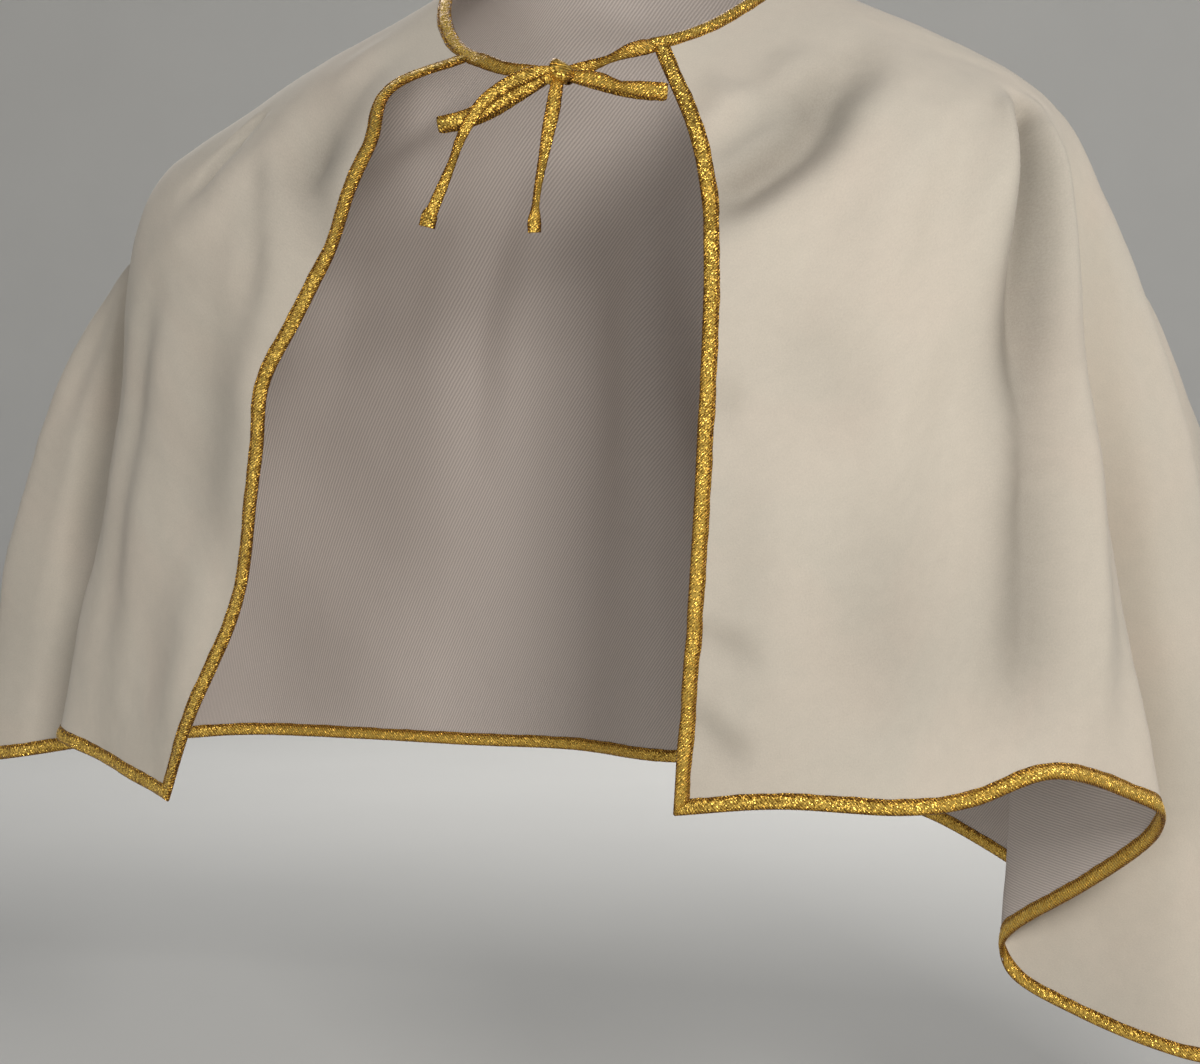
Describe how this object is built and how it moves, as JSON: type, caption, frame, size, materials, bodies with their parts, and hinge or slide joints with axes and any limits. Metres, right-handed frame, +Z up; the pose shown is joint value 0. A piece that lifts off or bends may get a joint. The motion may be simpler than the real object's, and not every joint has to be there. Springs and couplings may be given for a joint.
{
  "type": "altar server cape",
  "caption": "Short shoulder cape of brushed beige cloth, open down the front, bound in gold-coloured woven tape and tied at the neck in a bow.",
  "frame": {"origin": "on the wearer's axis, level with the top of the shoulders beside the neck, where the cape is carried", "axes": "+Z up, -Y to the front, +X to the wearer's left"},
  "size_m": [0.8722, 0.3575, 0.6834],
  "materials": {
    "cape_cloth": "brushed short nap with a soft sheen, ribbed reverse",
    "gold_binding": "metallic yarn twill tape with a fine glitter"
  },
  "bodies": {
    "root": {"cape_cloth": "cape_cloth", "neck_binding": "gold_binding", "left_front_binding": "gold_binding", "right_front_binding": "gold_binding", "hem_binding": "gold_binding", "left_tie_strand": "gold_binding", "left_tie_loop": "gold_binding", "left_tie_tail": "gold_binding", "right_tie_strand": "gold_binding", "right_tie_loop": "gold_binding", "right_tie_tail": "gold_binding", "bow_knot": "gold_binding"}
  },
  "joints": []
}
